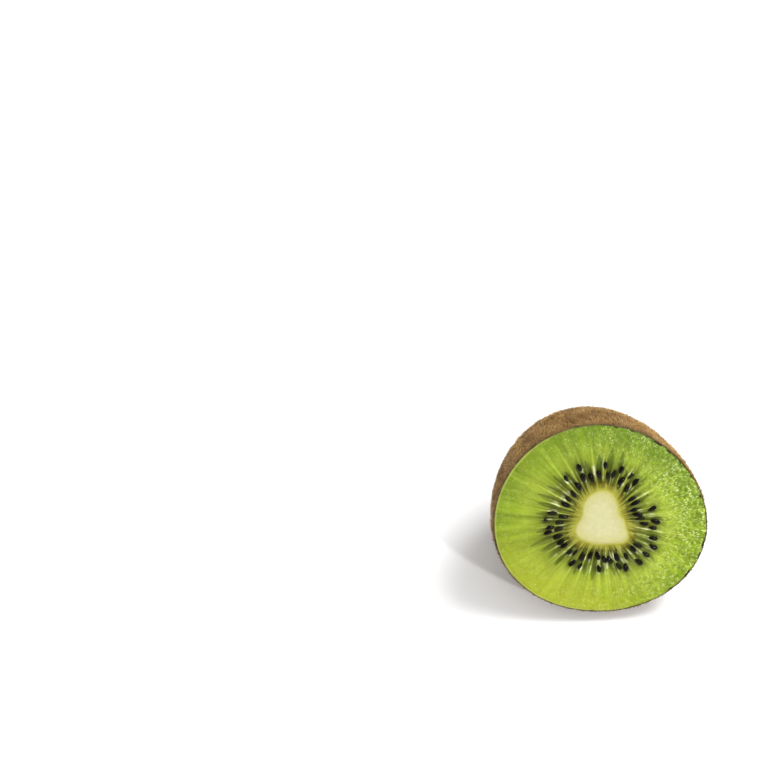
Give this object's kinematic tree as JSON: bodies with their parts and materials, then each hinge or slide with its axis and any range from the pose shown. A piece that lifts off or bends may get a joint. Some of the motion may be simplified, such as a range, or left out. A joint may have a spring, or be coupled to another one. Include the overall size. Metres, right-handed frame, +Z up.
{
  "type": "kiwi fruit half",
  "caption": "Kiwi fruit half, cut across the middle: brown fuzzy skin, green flesh with black seeds round a pale core, resting on its side.",
  "frame": {"origin": "on the surface the fruit lies on, under the middle of its bounding box", "axes": "+Z up; the cut face looks along -Y and is tipped 25 degrees up; +X is the viewer's right"},
  "size_m": [0.0536, 0.0436, 0.0514],
  "materials": {
    "skin_and_flesh": "wet green flesh under a thin brown fuzzy skin",
    "pale_core": "moist, smooth, cream"
  },
  "bodies": {
    "root": {"kiwi_flesh": "skin_and_flesh", "kiwi_core": "pale_core"}
  },
  "joints": []
}
